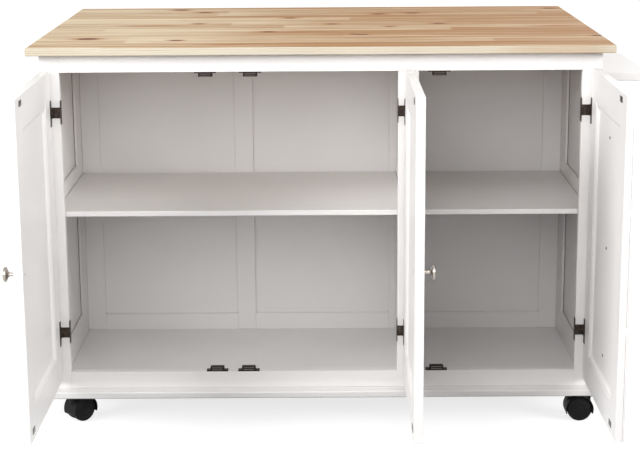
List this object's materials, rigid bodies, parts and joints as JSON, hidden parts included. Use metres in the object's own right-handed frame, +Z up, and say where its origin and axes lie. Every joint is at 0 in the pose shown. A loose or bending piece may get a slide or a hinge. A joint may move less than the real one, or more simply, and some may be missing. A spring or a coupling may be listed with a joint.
{
  "type": "drop leaf kitchen island",
  "caption": "Rolling kitchen island with a pine top, a rear drop leaf, painted doors on a divided shelved cabinet and a small fixed side shelf.",
  "frame": {"origin": "on the floor, at the middle of the box round the island as it stands with its doors open and its leaf up", "axes": "+X to the right along the island, +Y from the doors to the drop leaf, +Z up"},
  "size_m": [1.433, 1.2316, 0.915],
  "materials": {
    "painted_white": "satin white paint on wood",
    "pine": "clear satin lacquer on edge-glued pine",
    "bronze": "dark bronze",
    "nickel": "polished nickel",
    "steel": "zinc plated",
    "catch_plastic": "moulded, matte",
    "hood_black": "moulded, satin",
    "caster_black": "moulded, matte"
  },
  "bodies": {
    "cabinet": {"back_frame": "painted_white", "back_panels": "painted_white", "base_board": "painted_white", "caster_plates": "steel", "catches": "catch_plastic", "door_hinge_frame_leaves": "bronze", "door_hinge_pins": "bronze", "face_frame_rails": "painted_white", "face_frame_stiles": "painted_white", "leaf_hinge_fixed_leaves": "steel", "leaf_hinge_pins": "steel", "left_shelf": "painted_white", "left_side_frame": "painted_white", "partition": "painted_white", "right_shelf": "painted_white", "right_side_frame": "painted_white", "shelf_pins": "steel", "side_panels": "painted_white", "side_shelf": "painted_white", "stay_brackets": "steel", "worktop": "pine"},
    "caster_front_left_swivel": {"caster_front_left_axle": "steel", "caster_front_left_fork": "hood_black"},
    "caster_front_left_brake": {"caster_front_left_brake": "hood_black"},
    "caster_front_left_wheel_a": {"caster_front_left_wheel_a": "caster_black"},
    "caster_front_left_wheel_b": {"caster_front_left_wheel_b": "caster_black"},
    "caster_front_right_swivel": {"caster_front_right_axle": "steel", "caster_front_right_fork": "hood_black"},
    "caster_front_right_brake": {"caster_front_right_brake": "hood_black"},
    "caster_front_right_wheel_a": {"caster_front_right_wheel_a": "caster_black"},
    "caster_front_right_wheel_b": {"caster_front_right_wheel_b": "caster_black"},
    "caster_rear_left_swivel": {"caster_rear_left_axle": "steel", "caster_rear_left_fork": "hood_black"},
    "caster_rear_left_wheel_a": {"caster_rear_left_wheel_a": "caster_black"},
    "caster_rear_left_wheel_b": {"caster_rear_left_wheel_b": "caster_black"},
    "caster_rear_right_swivel": {"caster_rear_right_axle": "steel", "caster_rear_right_fork": "hood_black"},
    "caster_rear_right_wheel_a": {"caster_rear_right_wheel_a": "caster_black"},
    "caster_rear_right_wheel_b": {"caster_rear_right_wheel_b": "caster_black"},
    "leaf": {"drop_leaf": "pine", "leaf_hinge_moving_leaves": "steel", "stay_tracks": "steel"},
    "right_door": {"false_drawer_fronts": "painted_white", "right_door_frame": "painted_white", "right_door_hinge_leaves": "bronze", "right_door_knobs": "nickel", "right_door_panel": "painted_white", "right_door_strikes": "bronze"},
    "left_door": {"left_door_frame": "painted_white", "left_door_hinge_leaves": "bronze", "left_door_knob": "nickel", "left_door_panel": "painted_white", "left_door_strikes": "bronze"},
    "left_stay": {"left_stay_arm": "steel"},
    "middle_door": {"middle_door_frame": "painted_white", "middle_door_hinge_leaves": "bronze", "middle_door_knob": "nickel", "middle_door_panel": "painted_white", "middle_door_strikes": "bronze"},
    "right_stay": {"right_stay_arm": "steel"}
  },
  "joints": [
    {"name": "left_door_hinge", "type": "hinge", "parent": "cabinet", "child": "left_door", "pos_m": [-0.6665, -0.21075, 0.494], "axis": [0, 0, 1], "range_deg": [-12, 90]},
    {"name": "middle_door_hinge", "type": "hinge", "parent": "cabinet", "child": "middle_door", "pos_m": [0.1465, -0.21075, 0.494], "axis": [0, 0, 1], "range_deg": [-90, 12]},
    {"name": "right_door_hinge", "type": "hinge", "parent": "cabinet", "child": "right_door", "pos_m": [0.5735, -0.21075, 0.494], "axis": [0, 0, 1], "range_deg": [-90, 12]},
    {"name": "leaf_drop", "type": "hinge", "parent": "cabinet", "child": "leaf", "pos_m": [-0.0465, 0.332, 0.8932], "axis": [1, 0, 0], "range_deg": [-90, 0]},
    {"name": "left_stay_turn", "type": "hinge", "parent": "cabinet", "child": "left_stay", "pos_m": [-0.248, 0.27225, 0.83345], "axis": [1, 0, 0], "range_deg": [-90, 0]},
    {"name": "right_stay_turn", "type": "hinge", "parent": "cabinet", "child": "right_stay", "pos_m": [0.155, 0.27225, 0.83345], "axis": [1, 0, 0], "range_deg": [-90, 0]},
    {"name": "caster_front_left_swivel_turn", "type": "hinge", "parent": "cabinet", "child": "caster_front_left_swivel", "pos_m": [-0.6465, -0.18175, 0.06], "axis": [0, 0, 1], "continuous": true},
    {"name": "caster_front_left_wheel_a_roll", "type": "hinge", "parent": "caster_front_left_swivel", "child": "caster_front_left_wheel_a", "pos_m": [-0.63377, -0.16902, 0.0295], "axis": [-0.7071, 0.7071, 0], "continuous": true},
    {"name": "caster_front_left_wheel_b_roll", "type": "hinge", "parent": "caster_front_left_swivel", "child": "caster_front_left_wheel_b", "pos_m": [-0.63377, -0.16902, 0.0295], "axis": [-0.7071, 0.7071, 0], "continuous": true},
    {"name": "caster_front_left_brake_press", "type": "hinge", "parent": "caster_front_left_swivel", "child": "caster_front_left_brake", "pos_m": [-0.6165, -0.15175, 0.05861], "axis": [-0.7071, 0.7071, 0], "range_deg": [0, 12]},
    {"name": "caster_front_right_swivel_turn", "type": "hinge", "parent": "cabinet", "child": "caster_front_right_swivel", "pos_m": [0.5535, -0.18175, 0.06], "axis": [0, 0, 1], "continuous": true},
    {"name": "caster_front_right_wheel_a_roll", "type": "hinge", "parent": "caster_front_right_swivel", "child": "caster_front_right_wheel_a", "pos_m": [0.5715, -0.18175, 0.0295], "axis": [0, 1, 0], "continuous": true},
    {"name": "caster_front_right_wheel_b_roll", "type": "hinge", "parent": "caster_front_right_swivel", "child": "caster_front_right_wheel_b", "pos_m": [0.5715, -0.18175, 0.0295], "axis": [0, 1, 0], "continuous": true},
    {"name": "caster_front_right_brake_press", "type": "hinge", "parent": "caster_front_right_swivel", "child": "caster_front_right_brake", "pos_m": [0.59593, -0.18175, 0.05861], "axis": [0, 1, 0], "range_deg": [0, 12]},
    {"name": "caster_rear_left_swivel_turn", "type": "hinge", "parent": "cabinet", "child": "caster_rear_left_swivel", "pos_m": [-0.6465, 0.21125, 0.06], "axis": [0, 0, 1], "continuous": true},
    {"name": "caster_rear_left_wheel_a_roll", "type": "hinge", "parent": "caster_rear_left_swivel", "child": "caster_rear_left_wheel_a", "pos_m": [-0.66341, 0.21741, 0.0295], "axis": [-0.342, -0.9397, 0], "continuous": true},
    {"name": "caster_rear_left_wheel_b_roll", "type": "hinge", "parent": "caster_rear_left_swivel", "child": "caster_rear_left_wheel_b", "pos_m": [-0.66341, 0.21741, 0.0295], "axis": [-0.342, -0.9397, 0], "continuous": true},
    {"name": "caster_rear_right_swivel_turn", "type": "hinge", "parent": "cabinet", "child": "caster_rear_right_swivel", "pos_m": [0.5535, 0.21125, 0.06], "axis": [0, 0, 1], "continuous": true},
    {"name": "caster_rear_right_wheel_a_roll", "type": "hinge", "parent": "caster_rear_right_swivel", "child": "caster_rear_right_wheel_a", "pos_m": [0.53659, 0.20509, 0.0295], "axis": [0.342, -0.9397, 0], "continuous": true},
    {"name": "caster_rear_right_wheel_b_roll", "type": "hinge", "parent": "caster_rear_right_swivel", "child": "caster_rear_right_wheel_b", "pos_m": [0.53659, 0.20509, 0.0295], "axis": [0.342, -0.9397, 0], "continuous": true}
  ],
  "couplings": [
    {"joint": "left_stay_turn", "follows": "leaf_drop", "ratio": 1},
    {"joint": "right_stay_turn", "follows": "leaf_drop", "ratio": 1}
  ]
}
